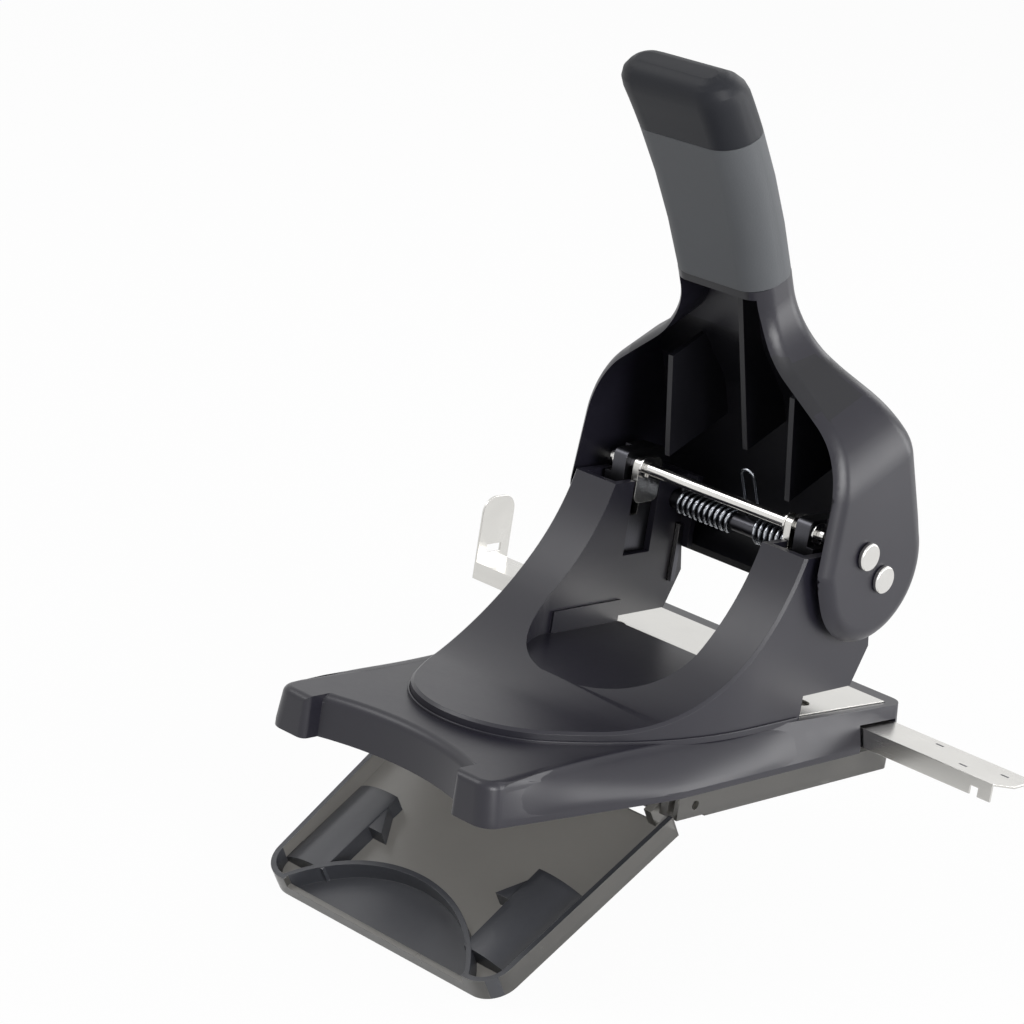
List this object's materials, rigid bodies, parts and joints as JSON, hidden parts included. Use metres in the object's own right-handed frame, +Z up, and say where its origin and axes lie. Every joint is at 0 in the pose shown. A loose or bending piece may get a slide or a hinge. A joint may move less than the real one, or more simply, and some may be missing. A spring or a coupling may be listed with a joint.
{
  "type": "hole punch",
  "caption": "Heavy desk punch with a tall hand lever over a forked yoke, a long base, a sliding paper guide and a hinged chip tray.",
  "frame": {"origin": "middle of the flat underside of the fixed rear bottom cover, on the plane of symmetry of the punch", "axes": "+X to the right as seen from the lever side, +Y to the rear where the paper goes in, +Z up"},
  "size_m": [0.2338, 0.187, 0.2723],
  "materials": {
    "black_plastic": "satin moulded, fine grain",
    "smoke_plastic": "satin moulded",
    "grey_grip": "soft matt",
    "black_grip": "soft matt",
    "plated_steel": "bright zinc plate",
    "black_steel": "dark coated steel",
    "spring_wire": "bright drawn wire"
  },
  "bodies": {
    "base": {"base_shell": "black_plastic", "yoke_cover": "black_plastic", "steel_frame": "plated_steel", "table_plate": "plated_steel", "die_plate": "plated_steel", "pivot_shaft": "plated_steel", "rear_cover": "smoke_plastic", "tray_hinge_pins": "plated_steel", "guide_spring": "spring_wire", "return_spring": "spring_wire", "punch_guide_left": "plated_steel", "punch_guide_right": "plated_steel", "cover_screws": "black_steel", "frame_screws": "black_steel"},
    "lever": {"lever_shell": "black_plastic", "grip_sleeve": "grey_grip", "grip_tip": "black_grip", "drive_pins": "plated_steel", "spring_loop": "spring_wire"},
    "crosshead": {"cross_rod": "plated_steel", "rod_clips": "black_steel", "guide_lugs": "plated_steel", "punch_carrier_left": "plated_steel", "punch_carrier_right": "plated_steel", "punch_pin_left": "plated_steel", "punch_pin_right": "plated_steel"},
    "side_guide": {"paper_guide": "plated_steel"},
    "tray": {"chip_tray": "smoke_plastic"}
  },
  "joints": [
    {"name": "lever_hinge", "type": "hinge", "parent": "base", "child": "lever", "pos_m": [0, 0.0275, 0.069], "axis": [1, 0, 0], "range_deg": [0, 68], "stiffness_Nm_per_rad": 0.25, "springref_deg": -40.11},
    {"name": "crosshead_slide", "type": "slide", "parent": "base", "child": "crosshead", "axis": [0, 0, -1], "range_m": [0, 0.0149]},
    {"name": "guide_slide", "type": "slide", "parent": "base", "child": "side_guide", "axis": [1, 0, 0], "range_m": [-0.028, 0.046]},
    {"name": "tray_hinge", "type": "hinge", "parent": "base", "child": "tray", "pos_m": [0, -0.046, 0.0045], "axis": [1, 0, 0], "range_deg": [-33, 0]}
  ],
  "couplings": [
    {"joint": "crosshead_slide", "follows": "lever_hinge", "m_per_rad": 0.012394}
  ]
}
